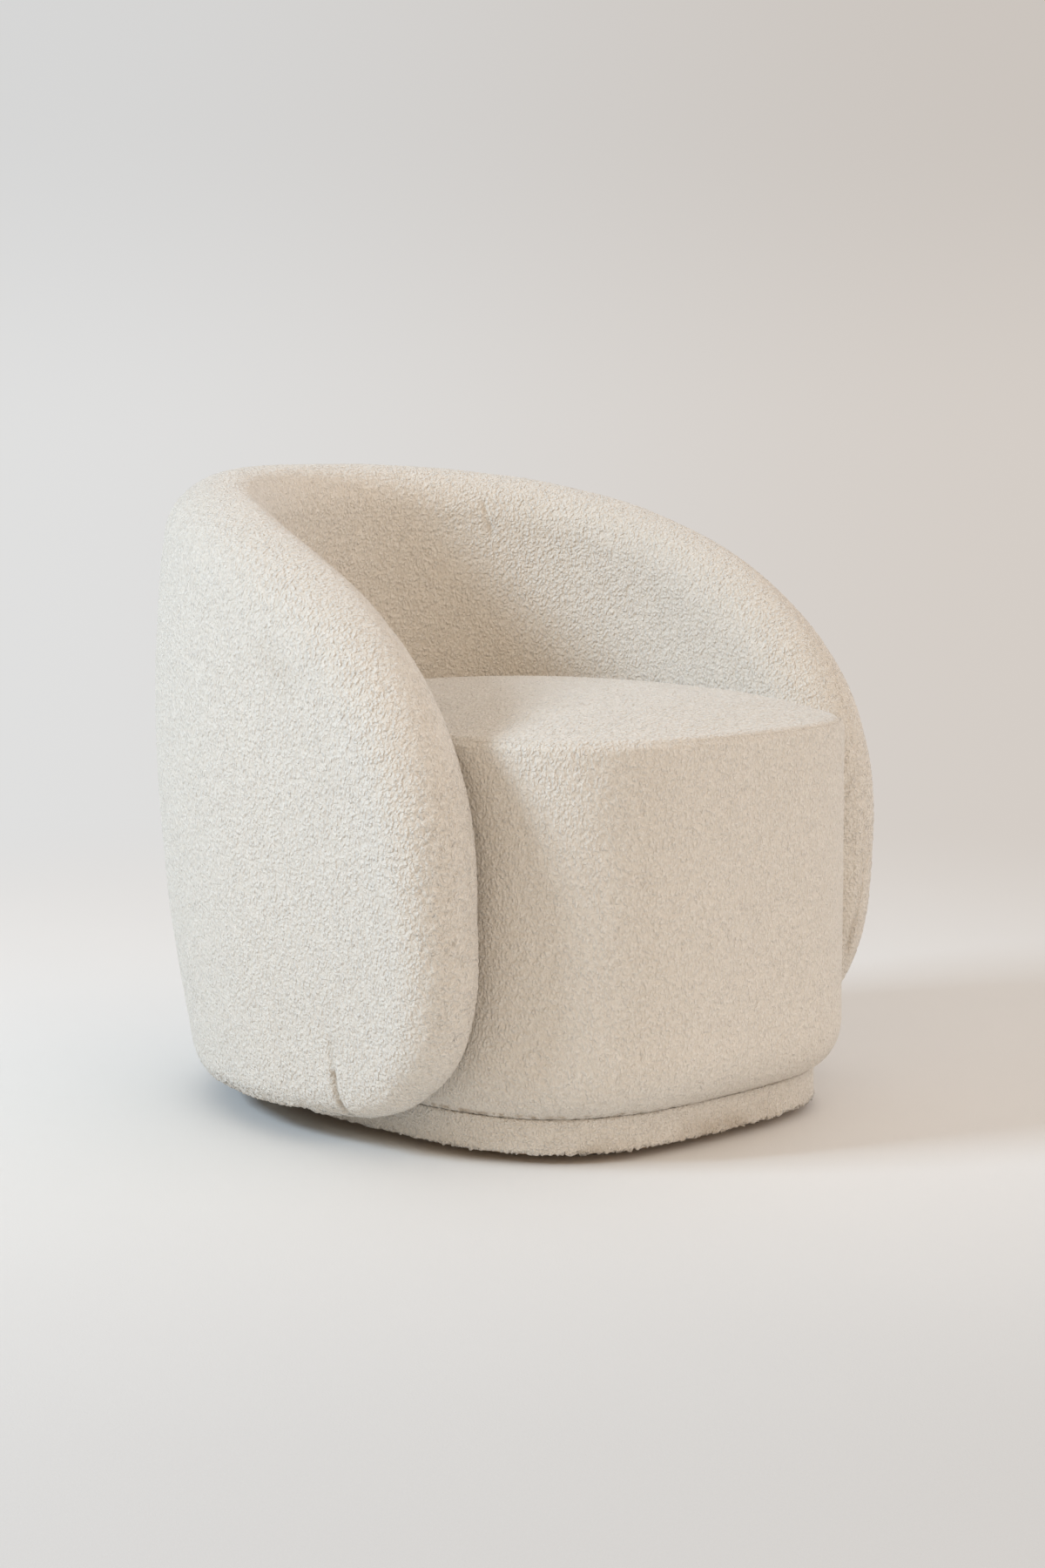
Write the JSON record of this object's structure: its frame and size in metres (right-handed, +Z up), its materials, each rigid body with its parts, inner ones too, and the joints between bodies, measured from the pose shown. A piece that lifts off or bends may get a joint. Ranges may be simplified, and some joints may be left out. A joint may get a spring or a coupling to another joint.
{
  "type": "tub chair",
  "caption": "Low tub chair with a padded horseshoe back and arms round a crowned seat drum, covered in looped cream cloth, standing on a low recessed plinth.",
  "frame": {"origin": "centre of the bounding box on the floor, under the glides", "axes": "+Z up; the chair faces -Y, its back is towards +Y; x = 0 is the plane of symmetry"},
  "size_m": [0.7706, 0.7889, 0.72],
  "materials": {
    "cover_cloth": "cream looped-pile cloth, matt",
    "plinth_cloth": "the same cloth, matted and slightly soiled",
    "foam": "open-cell foam",
    "plywood": "raw plywood",
    "beech": "raw hardwood",
    "webbing": "woven elastic webbing",
    "felt": "pressed fibre pad",
    "dust_cloth": "black nonwoven dust cloth",
    "glide_plastic": "black moulded plastic",
    "zinc_steel": "zinc-plated steel"
  },
  "bodies": {
    "root": {"base_board": "plywood", "base_rib": "plywood", "bolt_left_front": "zinc_steel", "bolt_left_rear": "zinc_steel", "bolt_right_front": "zinc_steel", "bolt_right_rear": "zinc_steel", "box_panel_front": "plywood", "box_panel_left": "plywood", "box_panel_rear": "plywood", "box_panel_right": "plywood", "corner_block_front_left": "beech", "corner_block_front_right": "beech", "corner_block_rear_left": "beech", "corner_block_rear_right": "beech", "drum_cover": "cover_cloth", "drum_foam": "foam", "felt_pad": "felt", "glide_front_left": "glide_plastic", "glide_front_right": "glide_plastic", "glide_rear_left": "glide_plastic", "glide_rear_right": "glide_plastic", "inner_board": "plywood", "insert_left_front": "zinc_steel", "insert_left_rear": "zinc_steel", "insert_right_front": "zinc_steel", "insert_right_rear": "zinc_steel", "outer_board": "plywood", "plinth_cover": "plinth_cloth", "plinth_rail_front": "plywood", "plinth_rail_left": "plywood", "plinth_rail_rear": "plywood", "plinth_rail_right": "plywood", "post_1_left": "beech", "post_1_right": "beech", "post_2_left": "beech", "post_2_right": "beech", "post_3_left": "beech", "post_3_right": "beech", "post_4_left": "beech", "post_4_right": "beech", "post_middle": "beech", "seat_cover": "cover_cloth", "seat_foam": "foam", "shell_cover": "cover_cloth", "shell_foam": "foam", "top_rail": "beech", "underside_cloth": "dust_cloth", "webbing_across_1": "webbing", "webbing_across_2": "webbing", "webbing_across_3": "webbing", "webbing_across_4": "webbing", "webbing_along_1": "webbing", "webbing_along_2": "webbing", "webbing_along_3": "webbing", "webbing_along_4": "webbing"}
  },
  "joints": []
}
